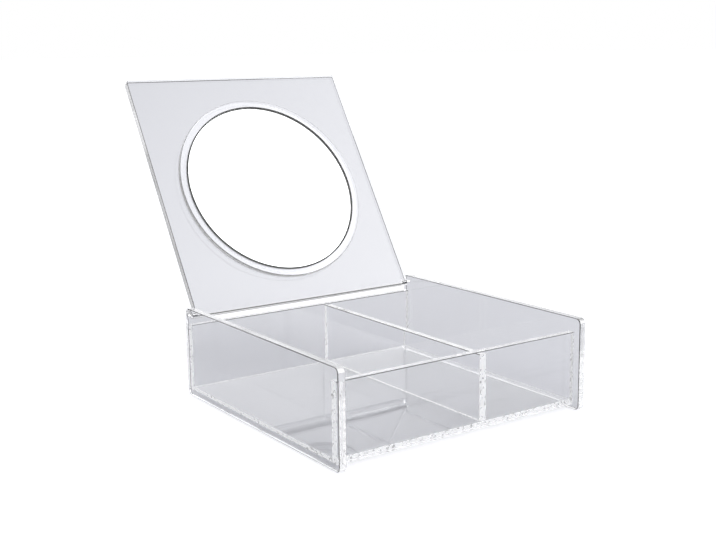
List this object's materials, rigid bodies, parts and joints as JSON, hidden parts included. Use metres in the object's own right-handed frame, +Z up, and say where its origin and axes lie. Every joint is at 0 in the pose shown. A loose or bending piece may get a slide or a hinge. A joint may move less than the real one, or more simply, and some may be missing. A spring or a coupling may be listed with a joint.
{
  "type": "makeup organizer",
  "caption": "Clear acrylic cosmetics box with open compartments and a hinged lid that carries a round mirror on its inner face.",
  "frame": {"origin": "on the table plane, midway between the side panels and midway between their front edges and the back of the open lid", "axes": "+X to the right along the hinge, +Y from the front panel to the back panel, +Z up"},
  "size_m": [0.185, 0.2748, 0.2048],
  "materials": {
    "clear_acrylic": "clear cast acrylic with polished edges",
    "pin_steel": "bright drawn steel pin",
    "mirror_silver": "silvered flat glass",
    "mirror_paint": "grey protective paint on the back of the mirror",
    "tape_foam": "white double-sided foam tape"
  },
  "bodies": {
    "case": {"left_side_panel": "clear_acrylic", "right_side_panel": "clear_acrylic", "floor_panel": "clear_acrylic", "front_panel": "clear_acrylic", "back_panel": "clear_acrylic", "compartment_divider": "clear_acrylic", "hinge_pin_left": "pin_steel", "hinge_pin_right": "pin_steel"},
    "lid": {"lid_panel": "clear_acrylic", "mirror_glass": "mirror_silver", "mirror_backing": "mirror_paint", "mirror_tape": "tape_foam", "mirror_ring": "clear_acrylic"}
  },
  "joints": [
    {"name": "lid_hinge", "type": "hinge", "parent": "case", "child": "lid", "pos_m": [0, 0.04055, 0.054], "axis": [1, 0, 0], "range_deg": [0, 122.86]}
  ]
}
